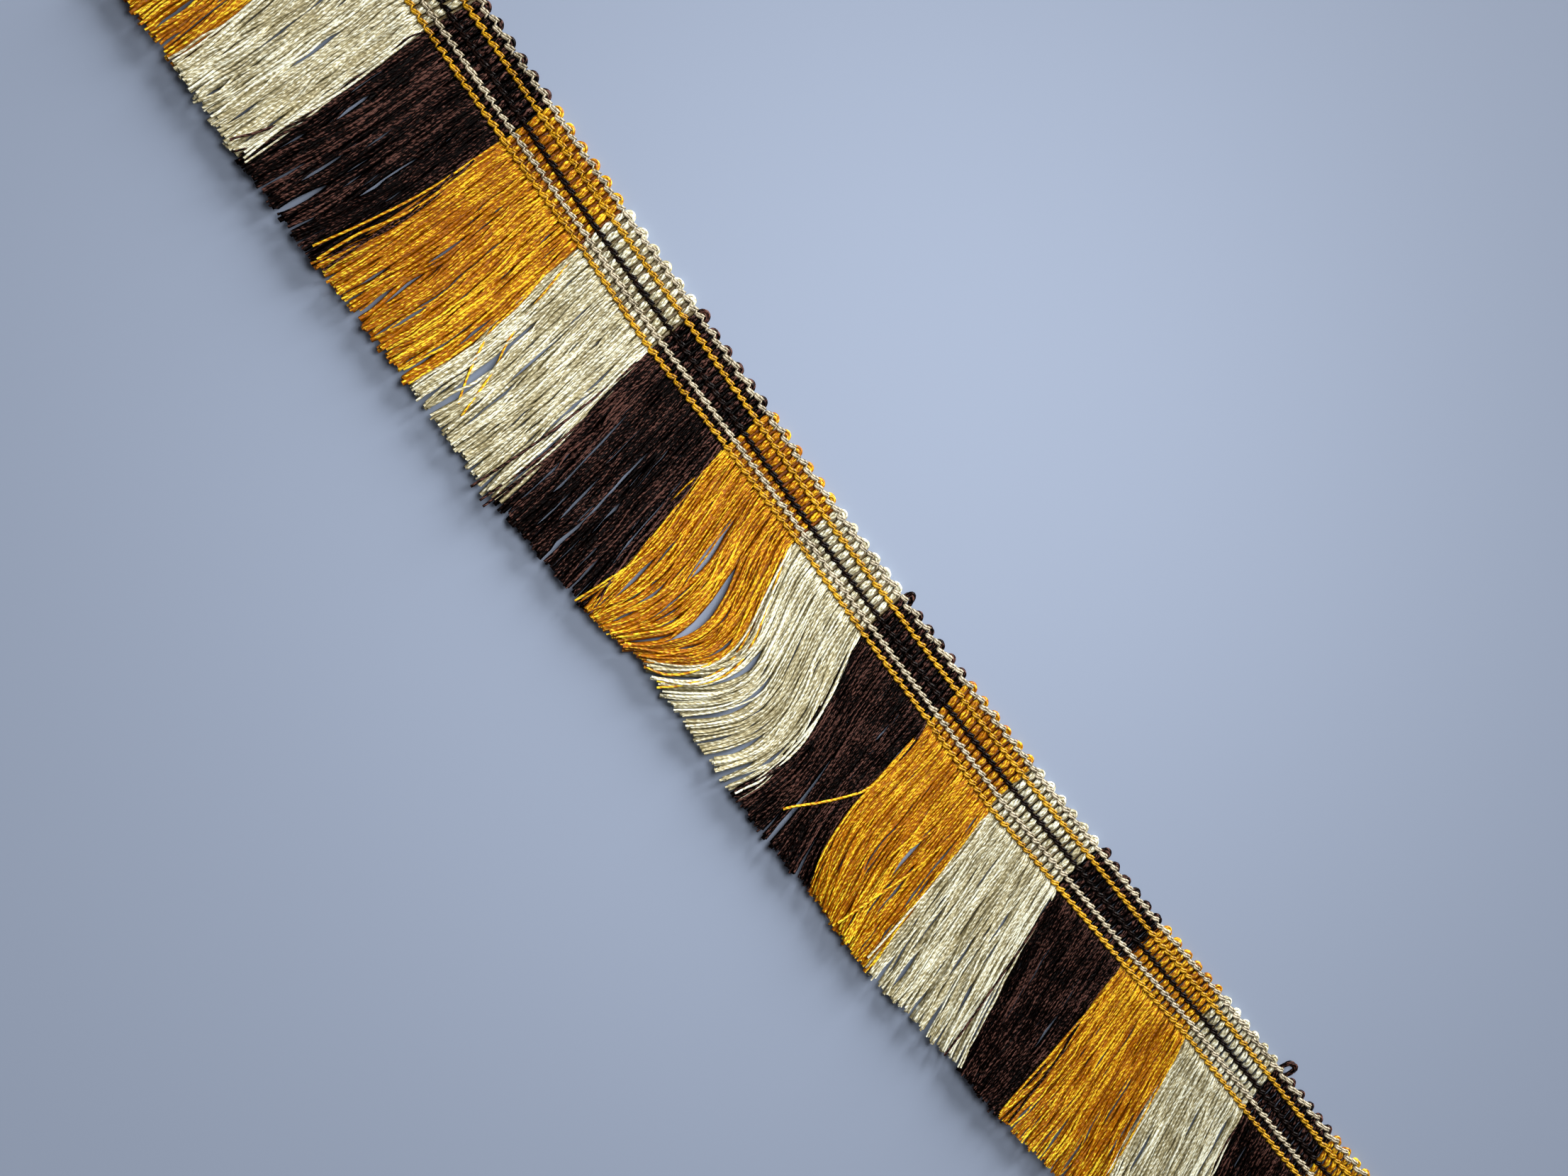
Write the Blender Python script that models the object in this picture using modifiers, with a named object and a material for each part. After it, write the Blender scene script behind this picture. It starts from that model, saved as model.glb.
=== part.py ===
"""Cut length of tassel fringe trim lying flat: a knitted heading and a cut skirt.

Metres, +Z up. The trim runs along X on a long, gentle arc. Its picot edge faces +Y and its
skirt faces -Y. Everything rests on the plane Z = 0.

Two measures run through the file: "along" is the distance along the skirt chain, and
"across" is the distance from that chain toward the picot edge, so the skirt has negative
values of across.
"""

import math
from collections import namedtuple

import bmesh
import bpy
from mathutils import Vector

MM = 0.001

# Gauge of the knitting
COURSE = 1.75 * MM
BLOCK_COURSES = 12
COURSES_A_PICOT = 2
FIRST_BLOCK_COURSES = 10

# The arc on which the trim lies
ARC_RADIUS = 2350 * MM

# Heading band, and the five chains that are knitted along it
BAND_THICKNESS = 1.0 * MM
BAND_MARGIN = 0.8 * MM
PICOT_BASE = 0.45 * MM
PICOT_RISE = 0.9 * MM
CHAIN_RADIUS = 0.35 * MM
CHAIN_LIFT = 0.3 * MM
CHAIN_SPACING = 10.0 * MM

# Skirt: the roots are fused in a narrow strip, and one lock hangs from each course
GAP = 0.3 * MM
ROOT_STRIP = 0.9 * MM
SKIRT_LENGTH = 35.2 * MM
LOCK_GAP = 0.55 * MM
LOCK_THICKNESS = 1.15 * MM
TIP_SHARE = 0.8
ROOT_SHIFT = 0.35 * MM
BOW_POWER = 1.5
STRAIGHT_STEPS = 3
SWEPT_STEPS = 6
SWEPT_BOW = 1.5 * MM

# One row for each end of a colour block, from left to right. The chain columns say how far
# the skirt, middle and outer chains lie from their straight lines there. tip_lean and bow say
# how far the skirt's tips and middles are swept to the right. All are in millimetres.
Section = namedtuple("Section", "colour skirt_chain middle_chain outer_chain tip_lean bow")
SECTIONS = (
    Section("gold", 0.0, 0.0, 0.0, 7.5, 0.2),
    Section("cream", 0.0, 0.0, 0.0, 7.0, 0.5),
    Section("brown", 0.0, 0.0, 0.0, 3.5, 0.9),
    Section("gold", 0.0, 0.0, 0.0, 1.2, 0.6),
    Section("cream", 0.4, -0.2, 0.0, 3.6, 1.2),
    Section("brown", -0.2, 0.2, 0.3, 5.0, 0.3),
    Section("gold", 0.6, 0.0, 0.1, 7.0, 0.4),
    Section("cream", 0.8, -0.3, -0.2, -1.0, 8.8),
    Section("brown", 0.2, -0.3, -0.1, 6.5, 3.8),
    Section("gold", -0.1, -0.3, -0.1, 8.3, -2.6),
    Section("cream", -1.1, 0.0, 0.0, 6.3, 0.3),
    Section("brown", -0.4, 0.4, 0.3, 10.4, -0.3),
    Section("gold", 0.0, 0.4, 0.4, 2.3, 1.3),
    Section("cream", 0.6, 0.8, 0.9, 11.0, 0.0),
    Section("brown", -0.2, 0.3, 0.4, 11.0, 0.3),
    Section("gold", -0.8, -0.5, -0.4, 6.5, 0.4),
    Section("end", -0.8, -0.5, -0.4, 4.5, 0.2),
)

# Straight lines of the chains: name, colour and distance from the skirt chain
Chain = namedtuple("Chain", "name colour across")
CHAINS = (
    Chain("chain_skirt_gold", "gold", 0.0),
    Chain("chain_inner_silver", "silver", 2.1 * MM),
    Chain("chain_middle_black", "black", 4.6 * MM),
    Chain("chain_outer_gold", "gold", 7.8 * MM),
    Chain("chain_edge_silver", "silver", 10.1 * MM),
)
MIDDLE_CHAIN = CHAINS[2].across
OUTER_CHAIN = CHAINS[-1].across

# Colour, roughness and metallic value of each yarn
YARNS = {
    "gold": ((0.72, 0.36, 0.02, 1.0), 0.42, 0.0),
    "cream": ((0.74, 0.68, 0.5, 1.0), 0.42, 0.0),
    "brown": ((0.035, 0.016, 0.012, 1.0), 0.45, 0.0),
    "silver": ((0.5, 0.48, 0.38, 1.0), 0.4, 0.0),
    "black": ((0.01, 0.006, 0.006, 1.0), 0.45, 0.0),
}


def block_ends():
    """Return the distance along the trim of each row of SECTIONS, from 0 at the left end."""
    ends = [0.0, FIRST_BLOCK_COURSES * COURSE]
    while len(ends) < len(SECTIONS):
        ends.append(ends[-1] + BLOCK_COURSES * COURSE)
    return ends


ENDS = block_ends()
LENGTH = ENDS[-1]


def section_value(along, column):
    """Read one column of SECTIONS at a distance along the trim, in metres."""
    last = len(ENDS) - 2
    row = min(last, max(i for i in range(last + 1) if i == 0 or ENDS[i] <= along))
    share = (along - ENDS[row]) / (ENDS[row + 1] - ENDS[row])
    start = getattr(SECTIONS[row], column)
    stop = getattr(SECTIONS[row + 1], column)
    return (start + (stop - start) * share) * MM


def chain_across(along, across):
    """Shift a line of the heading to follow the uneven edges of the real band."""
    inner = section_value(along, "skirt_chain")
    middle = section_value(along, "middle_chain")
    outer = section_value(along, "outer_chain")
    if across < MIDDLE_CHAIN:
        share = max(0.0, across / MIDDLE_CHAIN)
        return across + inner + (middle - inner) * share
    share = min(1.0, (across - MIDDLE_CHAIN) / (OUTER_CHAIN - MIDDLE_CHAIN))
    return across + middle + (outer - middle) * share


def on_arc(along, across, height=0.0):
    """Turn along and across into a point on the arc."""
    angle = (along - LENGTH / 2) / ARC_RADIUS
    radius = ARC_RADIUS - across
    return Vector((radius * math.sin(angle), ARC_RADIUS - radius * math.cos(angle), height))


def sweep(root, share):
    """How far a strand rooted at root has moved to the right at a share of its length."""
    lean = section_value(root, "tip_lean") * share
    bow = section_value(root, "bow") * math.sin(math.pi * share**BOW_POWER)
    return ROOT_SHIFT + lean + bow


def reach(root):
    """How far a strand reaches across, when its path is SKIRT_LENGTH long."""
    steps = 24
    path = 0.0
    for i in range(steps):
        side = sweep(root, (i + 1) / steps) - sweep(root, i / steps)
        path += math.hypot(side, SKIRT_LENGTH / steps)
    return SKIRT_LENGTH * SKIRT_LENGTH / path


def skirt_top(along):
    """Distance across at which the skirt's root strip begins."""
    return chain_across(along, 0.0) - BAND_MARGIN - GAP


def strand_point(root, share):
    """Point on the floor of the strand rooted at root."""
    top = skirt_top(root) - ROOT_STRIP
    return on_arc(root + sweep(root, share), top - reach(root) * share)


def yarn_material(colour):
    """Make or find the material of a yarn colour."""
    name = f"yarn_{colour}"
    material = bpy.data.materials.get(name)
    if material is None:
        material = bpy.data.materials.new(name)
        material.use_nodes = True
        shade, roughness, metallic = YARNS[colour]
        shader = material.node_tree.nodes["Principled BSDF"]
        shader.inputs["Base Color"].default_value = shade
        shader.inputs["Roughness"].default_value = roughness
        shader.inputs["Metallic"].default_value = metallic
        material.diffuse_color = shade
    return material


def add_object(name, data, colour, collection):
    """Link a new object with one yarn material."""
    data.materials.append(yarn_material(colour))
    piece = bpy.data.objects.new(name, data)
    collection.objects.link(piece)
    return piece


def add_solid_sheet(name, mesh_builder, thickness, colour, collection):
    """Thicken an open flat mesh upward from Z = 0."""
    mesh = bpy.data.meshes.new(name)
    mesh_builder.normal_update()
    mesh_builder.to_mesh(mesh)
    mesh_builder.free()
    piece = add_object(name, mesh, colour, collection)
    solidify = piece.modifiers.new("thickness", "SOLIDIFY")
    solidify.thickness = thickness
    solidify.offset = 1.0
    solidify.use_even_offset = False
    return piece, solidify


def picot_outline(left, right):
    """Points of one picot loop's half round, from left to right."""
    base = OUTER_CHAIN + PICOT_BASE
    middle = (left + right) / 2
    half = (right - left) / 2
    points = []
    for turn in (0.75, 0.5, 0.25):
        angle = math.pi * turn
        along = middle + half * 0.92 * math.cos(angle)
        across = chain_across(along, base + PICOT_RISE * math.sin(angle))
        points.append(on_arc(along, across))
    return points


def build_heading(collection):
    """The knitted band, with a scallop for each picot loop along its outer edge."""
    mesh = bmesh.new()
    pitch = COURSE * COURSES_A_PICOT
    inner_line = []
    outer_line = []
    for i in range(round(LENGTH / pitch) + 1):
        along = i * pitch
        inner = chain_across(along, 0.0) - BAND_MARGIN
        inner_line.append(mesh.verts.new(on_arc(along, inner)))
        outer = chain_across(along, OUTER_CHAIN + PICOT_BASE)
        outer_line.append(mesh.verts.new(on_arc(along, outer)))
    for i in range(len(inner_line) - 1):
        loop = [mesh.verts.new(p) for p in picot_outline(i * pitch, (i + 1) * pitch)]
        mesh.faces.new((inner_line[i], inner_line[i + 1], outer_line[i + 1], outer_line[i]))
        mesh.faces.new((outer_line[i], outer_line[i + 1], *reversed(loop)))
    add_solid_sheet("heading_band", mesh, BAND_THICKNESS, "gold", collection)


def build_chain(chain, collection):
    """One chain of stitches, as a plain cord along the face of the band."""
    height = BAND_THICKNESS + CHAIN_LIFT + CHAIN_RADIUS
    count = round(LENGTH / CHAIN_SPACING)
    curve = bpy.data.curves.new(chain.name, "CURVE")
    curve.dimensions = "3D"
    curve.bevel_depth = CHAIN_RADIUS
    curve.bevel_resolution = 1
    curve.use_fill_caps = True
    spline = curve.splines.new("POLY")
    spline.points.add(count)
    for i in range(count + 1):
        along = LENGTH * i / count
        place = on_arc(along, chain_across(along, chain.across), height)
        spline.points[i].co = (*place, 1.0)
    return add_object(chain.name, curve, chain.colour, collection)


def lock_steps(first, last):
    """Use more steps where the skirt is swept in a bow."""
    bow = max(abs(section_value(first, "bow")), abs(section_value(last, "bow")))
    return SWEPT_STEPS if bow > SWEPT_BOW else STRAIGHT_STEPS


def build_skirt_block(name, first, last, colour, collection):
    """The locks of one colour block, fused at their roots in a narrow strip."""
    mesh = bmesh.new()
    steps = lock_steps(first, last)
    count = round((last - first) / COURSE)
    tips = []
    previous = None
    for i in range(count):
        left = first + i * COURSE + LOCK_GAP / 2
        right = left + COURSE - LOCK_GAP
        top = [mesh.verts.new(on_arc(a + ROOT_SHIFT, skirt_top(a))) for a in (left, right)]
        row = [mesh.verts.new(strand_point(a, 0.0)) for a in (left, right)]
        mesh.faces.new((top[0], row[0], row[1], top[1]))
        if previous:
            mesh.faces.new((previous[0], previous[1], row[0], top[0]))
        previous = (top[1], row[1])
        for step in range(1, steps + 1):
            below = [mesh.verts.new(strand_point(a, step / steps)) for a in (left, right)]
            mesh.faces.new((row[0], below[0], below[1], row[1]))
            row = below
            tips.append((below, step / steps))
    mesh.verts.index_update()
    shares = [(vert.index, share) for pair, share in tips for vert in pair]
    total = len(mesh.verts)
    piece, solidify = add_solid_sheet(name, mesh, LOCK_THICKNESS, colour, collection)
    group = piece.vertex_groups.new(name="thickness")
    group.add(range(total), 1.0, "REPLACE")
    for index, share in shares:
        group.add([index], 1.0 - (1.0 - TIP_SHARE) * share, "REPLACE")
    solidify.vertex_group = group.name
    return piece


def build_skirt(collection):
    """All colour blocks of the skirt, numbered from the left end."""
    for i in range(len(ENDS) - 1):
        colour = SECTIONS[i].colour
        name = f"skirt_{i + 1:02d}_{colour}"
        build_skirt_block(name, ENDS[i], ENDS[i + 1], colour, collection)


def centre_on_floor(collection):
    """Move all pieces so that the middle of their common footprint is at the origin."""
    bpy.context.view_layer.update()
    corners = [Vector(c) for piece in collection.objects for c in piece.bound_box]
    middle_x = (min(c.x for c in corners) + max(c.x for c in corners)) / 2
    middle_y = (min(c.y for c in corners) + max(c.y for c in corners)) / 2
    for piece in collection.objects:
        piece.location = (-middle_x, -middle_y, 0.0)


def main():
    for old in list(bpy.data.objects):
        bpy.data.objects.remove(old, do_unlink=True)
    collection = bpy.data.collections.new("tassel_fringe_trim")
    bpy.context.scene.collection.children.link(collection)
    build_heading(collection)
    for chain in CHAINS:
        build_chain(chain, collection)
    build_skirt(collection)
    centre_on_floor(collection)


main()
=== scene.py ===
"""Looks of a tassel fringe trim: skirt yarns, heading wefts with their loops, and chain stitches.

Two measures run through the file, as on the maker's table: "along" is the distance along the
skirt chain from the left cut end, and "across" is the distance from that chain toward the
looped edge, so the skirt has negative values of across. All lengths are in metres.
"""

import math
from collections import namedtuple

import bpy
import numpy as np
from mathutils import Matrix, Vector


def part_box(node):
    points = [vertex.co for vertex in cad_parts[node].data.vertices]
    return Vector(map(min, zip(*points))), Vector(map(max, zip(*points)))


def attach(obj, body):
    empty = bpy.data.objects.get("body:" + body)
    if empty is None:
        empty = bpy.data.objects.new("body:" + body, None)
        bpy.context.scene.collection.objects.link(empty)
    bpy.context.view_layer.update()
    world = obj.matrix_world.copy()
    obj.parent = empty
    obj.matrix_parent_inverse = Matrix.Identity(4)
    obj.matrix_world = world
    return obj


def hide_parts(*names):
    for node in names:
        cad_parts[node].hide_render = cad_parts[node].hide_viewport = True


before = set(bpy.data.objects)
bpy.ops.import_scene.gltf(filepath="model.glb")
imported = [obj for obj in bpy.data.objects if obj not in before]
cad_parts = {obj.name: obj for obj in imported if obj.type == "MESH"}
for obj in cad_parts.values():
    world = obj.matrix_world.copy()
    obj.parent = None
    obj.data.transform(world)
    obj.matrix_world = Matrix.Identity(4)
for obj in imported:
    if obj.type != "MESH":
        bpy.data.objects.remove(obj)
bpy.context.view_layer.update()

MM = 0.001

# Gauge of the knitting
COURSE = 1.75 * MM
BLOCK_COURSES = 12
FIRST_BLOCK_COURSES = 10
ARC_RADIUS = 2350 * MM
BAND_MARGIN = 0.8 * MM

# Skirt, measured where the yarns leave the heading
SKIRT_TOP = 2.0 * MM
SKIRT_LENGTH = 35.2 * MM
ROOT_SHIFT = 0.35 * MM
BOW_POWER = 1.5
# How much shorter a bent yarn reaches: at 1 its path is as long as a straight yarn
BEND_LOSS = 0.55
REACH_STEPS = 24

# One row for each end of a colour block, from left to right: how far the skirt, middle and
# outer chains lie from their straight lines, how far the wefts have slipped along the outer
# chain, and how far the skirt's tips and middles are swept to the right. All are in
# millimetres.
Section = namedtuple("Section", "colour skirt_chain middle_chain outer_chain slip tip_lean bow")
SECTIONS = (
    Section("gold", 0.0, 0.0, 0.0, 0.0, 7.5, 0.2),
    Section("cream", 0.0, 0.0, 0.0, 0.0, 7.0, 0.5),
    Section("brown", 0.0, 0.0, 0.0, 0.0, 2.5, 0.5),
    Section("gold", 0.0, 0.0, 0.0, -0.7, 1.2, 0.6),
    Section("cream", 0.4, -0.2, 0.0, -0.9, 3.6, 1.2),
    Section("brown", -0.2, 0.2, 0.3, -0.9, 5.0, 0.3),
    Section("gold", 0.6, 0.0, 0.1, -0.2, 7.0, 0.4),
    Section("cream", 0.8, -0.3, -0.2, 0.1, -1.0, 8.8),
    Section("brown", 0.2, -0.3, -0.1, -0.4, 6.5, 3.8),
    Section("gold", -0.1, -0.3, -0.1, -0.8, 8.3, -2.6),
    Section("cream", -1.1, 0.0, 0.0, 0.1, 5.0, 0.3),
    Section("brown", -0.4, 0.4, 0.3, 0.5, 10.4, -0.3),
    Section("gold", 0.0, 0.4, 0.4, 0.8, 2.3, 1.3),
    Section("cream", 0.6, 0.8, 0.9, 0.2, 8.8, 0.0),
    Section("brown", -0.2, 0.3, 0.4, -0.6, 9.8, 0.0),
    Section("gold", -0.8, -0.5, -0.4, -1.0, 6.5, 0.4),
    Section("end", -0.8, -0.5, -0.4, -1.0, 4.5, 0.2),
)

# Distance of each chain from the skirt chain, where the band is straight
CHAIN_LINES = {
    "chain_skirt_gold": 0.0,
    "chain_inner_silver": 2.1 * MM,
    "chain_middle_black": 4.6 * MM,
    "chain_outer_gold": 7.8 * MM,
    "chain_edge_silver": 10.1 * MM,
}
MIDDLE_CHAIN = CHAIN_LINES["chain_middle_black"]
OUTER_CHAIN = CHAIN_LINES["chain_edge_silver"]

# Yarn of the skirt: two plies, nearly half a millimetre thick, over a closed lower layer
YARN_HALF_WIDTH = 0.215 * MM
YARN_TWIST = 2.2
UPPER_YARNS = 5
LOWER_YARNS = 3
UPPER_STEP = 1.2 * MM
LOWER_STEP = 2.4 * MM
LOWER_HALF_WIDTH = 0.42 * MM
# Painted shade: tones that darken the yarns which lie deep in the skirt and in the heading,
# where little light gets in
SKIRT_SHADE_TONE = -0.15
HEADING_SHADE_TONE = -2.5
# Heights of the skirt's yarns above the surface: the lowest of all, the range of the upper
# layer near the heading, its height beside the skirt chain, and the tips of both layers
LOW_YARN = 0.56 * MM
UPPER_BED = (0.85 * MM, 1.25 * MM)
CHAIN_SIDE = 1.15 * MM
UPPER_TIPS = (1.6 * MM, 3.0 * MM)
LOWER_TIPS = (0.9 * MM, 2.2 * MM)
# How far the tips stray sideways, the share of yarns that stray this many times as far, and
# how uneven the cut is
STRAY = 0.4 * MM
FAR_STRAY_SHARE = 0.08
FAR_STRAY = 4
UNEVEN_CUT = 0.35 * MM
# Waves along a yarn: how many from end to end, and how far each bends it
WAVE_TURNS = np.array((1, 2.2, 5.5))
WAVE_SIZES = np.array((0.28, 0.15, 0.07)) * MM
# Shares of a yarn's length: the root that dips under the chain, and where it is in its lane
ROOT_END = 0.03
SETTLED = 0.14

# Camera, fitted to the grid of the knitting
CAMERA_PLACE = (-56.08 * MM, -35.32 * MM, 205.2 * MM)
CAMERA_TURN = (-0.923, -14.42, 51.576)
SENSOR_WIDTH = 36.0
LENS = 27.05
CLIP_START = 0.01

# Light: a lamp above the trim, which fades toward the picture's corners, and a wide window low
# beyond the looped edge, which throws the soft shadow below the tips
Light = namedtuple("Light", "name spot size power colour")
LIGHTS = (
    Light("lamp", (-0.042, 0.058, 0.19), 0.1, 0.33, (1.0, 0.985, 0.97)),
    Light("window", (-0.2, 3.9, 1.25), 2.0, 400.0, (1.0, 0.99, 0.985)),
)
ROOM_COLOUR = (0.95, 0.9, 0.9, 1.0)
ROOM_STRENGTH = 0.1
FLOOR_COLOUR = "#8F9BB0"
FLOOR_HALF_SIDE = 2.0


def block_ends():
    """Distance along the trim of each row of SECTIONS."""
    ends = [0.0, FIRST_BLOCK_COURSES * COURSE]
    while len(ends) < len(SECTIONS):
        ends.append(ends[-1] + BLOCK_COURSES * COURSE)
    return np.array(ends)


ENDS = block_ends()
LENGTH = float(ENDS[-1])
COURSES = round(LENGTH / COURSE)


def section_value(along, column):
    """Read one column of SECTIONS at distances along the trim."""
    return np.interp(along, ENDS, [getattr(row, column) for row in SECTIONS]) * MM


def chain_across(along, across):
    """Shift a line of the heading to follow the uneven edges of the band."""
    inner = section_value(along, "skirt_chain")
    middle = section_value(along, "middle_chain")
    outer = section_value(along, "outer_chain")
    low = np.clip(across / MIDDLE_CHAIN, 0, 1)
    high = np.clip((across - MIDDLE_CHAIN) / (OUTER_CHAIN - MIDDLE_CHAIN), 0, 1)
    near_skirt = inner + (middle - inner) * low
    near_edge = middle + (outer - middle) * high
    return across + np.where(across < MIDDLE_CHAIN, near_skirt, near_edge)


def weft_along(along, across):
    """Shift a line of the heading by the slip of its wefts."""
    return along + section_value(along, "slip") * np.clip(across / OUTER_CHAIN, 0, 1)


def on_arc(along, across, height):
    """Points on the trim's arc, before the arc is centred."""
    along, across, height = np.broadcast_arrays(along, across, height)
    angle = (along - LENGTH / 2) / ARC_RADIUS
    radius = ARC_RADIUS - across
    return np.stack([radius * np.sin(angle), ARC_RADIUS - radius * np.cos(angle), height], -1)


def centring_shift():
    """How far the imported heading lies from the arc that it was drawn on."""
    stations = np.arange(0, COURSES + 1, 2) * COURSE
    edge = on_arc(stations, chain_across(stations, 0.0 * stations) - BAND_MARGIN, 0.0)
    low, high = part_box("heading_band")
    return np.array([low.x - edge[:, 0].min(), low.y - edge[:, 1].min(), 0.0])


SHIFT = centring_shift()


def place(along, across, height):
    """Points in the part's frame."""
    return on_arc(along, across, height) + SHIFT


def sweep(root, share):
    """How far yarns rooted at root have moved to the right at a share of their length."""
    lean = section_value(root, "tip_lean") * share
    bow = section_value(root, "bow") * np.sin(math.pi * share**BOW_POWER)
    return ROOT_SHIFT + lean + bow


def reach(root):
    """How far a yarn reaches across, a little shorter where its path is bent."""
    share = np.linspace(0, 1, REACH_STEPS + 1)
    sides = np.diff(sweep(root, share))
    path = np.hypot(sides, SKIRT_LENGTH / REACH_STEPS).sum()
    return SKIRT_LENGTH * (SKIRT_LENGTH / path) ** BEND_LOSS


def ease(value):
    """Smooth step from 0 to 1."""
    value = np.clip(value, 0, 1)
    return value * value * (3 - 2 * value)


def smooth_path(points, steps):
    """Round off a given path, with a Catmull-Rom curve through its points."""
    points = np.array(points, float)
    ends = np.vstack([2 * points[0] - points[1], points, 2 * points[-1] - points[-2]])
    out = []
    for a, b, c, d in zip(ends, ends[1:], ends[2:], ends[3:]):
        for t in np.arange(steps) / steps:
            out.append(
                0.5 * (2 * b + (c - a) * t + (2 * a - 5 * b + 4 * c - d) * t**2
                       + (3 * b - a - 3 * c + d) * t**3)
            )
    out.append(points[-1])
    return np.array(out)


# Node trees


def add_node(tree, kind, inputs=None, **settings):
    """Add a node, set it up, and set or link its inputs."""
    node = tree.nodes.new(kind)
    for name, value in settings.items():
        setattr(node, name, value)
    for name, value in (inputs or {}).items():
        if isinstance(value, bpy.types.NodeSocket):
            tree.links.new(value, node.inputs[name])
        else:
            node.inputs[name].default_value = value
    return node


def new_geometry_tree(name, sockets):
    """Start a Geometry Nodes tree with named inputs."""
    tree = bpy.data.node_groups.new(name, "GeometryNodeTree")
    tree.interface.new_socket("Geometry", in_out="INPUT", socket_type="NodeSocketGeometry")
    for label, kind in sockets.items():
        tree.interface.new_socket(label, in_out="INPUT", socket_type=kind)
    tree.interface.new_socket("Geometry", in_out="OUTPUT", socket_type="NodeSocketGeometry")
    return tree, tree.nodes.new("NodeGroupInput").outputs


def finish_tree(tree, geometry, finish):
    """End a tree with real geometry that has its material."""
    real = add_node(tree, "GeometryNodeRealizeInstances", {"Geometry": geometry})
    smooth = add_node(tree, "GeometryNodeSetShadeSmooth", {"Geometry": real.outputs[0]})
    dressed = add_node(
        tree, "GeometryNodeSetMaterial", {"Geometry": smooth.outputs[0], "Material": finish}
    )
    add_node(tree, "NodeGroupOutput", {"Geometry": dressed.outputs[0]})


def yarn_tree():
    """Sweep a section along paths, and measure the yarn along and around itself."""
    tree, given = new_geometry_tree(
        "lay_yarn",
        {
            "Sides": "NodeSocketInt",
            "Flatness": "NodeSocketFloat",
            "Finish": "NodeSocketMaterial",
        },
    )
    path = add_node(tree, "GeometryNodeMeshToCurve", {"Mesh": given["Geometry"]})
    upright = add_node(
        tree, "GeometryNodeSetCurveNormal", {"Curve": path.outputs[0]}, mode="Z_UP"
    )
    width = add_node(
        tree, "GeometryNodeInputNamedAttribute", {"Name": "half_width"}, data_type="FLOAT"
    )
    spot = add_node(tree, "GeometryNodeSplineParameter")
    millimetres = add_node(
        tree, "ShaderNodeMath", {0: spot.outputs["Length"], 1: 1 / MM}, operation="MULTIPLY"
    )
    measured = add_node(
        tree,
        "GeometryNodeStoreNamedAttribute",
        {"Geometry": upright.outputs[0], "Name": "along_yarn", "Value": millimetres.outputs[0]},
        data_type="FLOAT",
        domain="POINT",
    )
    ring = add_node(
        tree, "GeometryNodeCurvePrimitiveCircle", {"Resolution": given["Sides"], "Radius": 1.0}
    )
    ring_spot = add_node(tree, "GeometryNodeSplineParameter")
    ring_angle = add_node(
        tree, "ShaderNodeMath", {0: ring_spot.outputs["Factor"], 1: math.tau}, operation="MULTIPLY"
    )
    ring_cos = add_node(tree, "ShaderNodeMath", {0: ring_angle.outputs[0]}, operation="COSINE")
    ring_sin = add_node(tree, "ShaderNodeMath", {0: ring_angle.outputs[0]}, operation="SINE")
    ring_point = add_node(
        tree, "ShaderNodeCombineXYZ", {"X": ring_cos.outputs[0], "Y": ring_sin.outputs[0]}
    )
    marked = add_node(
        tree,
        "GeometryNodeStoreNamedAttribute",
        {"Geometry": ring.outputs[0], "Name": "around_yarn", "Value": ring_point.outputs[0]},
        data_type="FLOAT_VECTOR",
        domain="POINT",
    )
    squeeze = add_node(
        tree, "ShaderNodeCombineXYZ", {"X": 1.0, "Y": given["Flatness"], "Z": 1.0}
    )
    section = add_node(
        tree,
        "GeometryNodeTransform",
        {"Geometry": marked.outputs[0], "Scale": squeeze.outputs[0]},
    )
    swept = add_node(
        tree,
        "GeometryNodeCurveToMesh",
        {
            "Curve": measured.outputs[0],
            "Profile Curve": section.outputs[0],
            "Scale": width.outputs["Attribute"],
            "Fill Caps": True,
        },
    )
    finish_tree(tree, swept.outputs[0], given["Finish"])
    return tree


# How much of a chain's unevenness goes into the size of its stitches
SIZE_UNEVENNESS = 0.6


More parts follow.
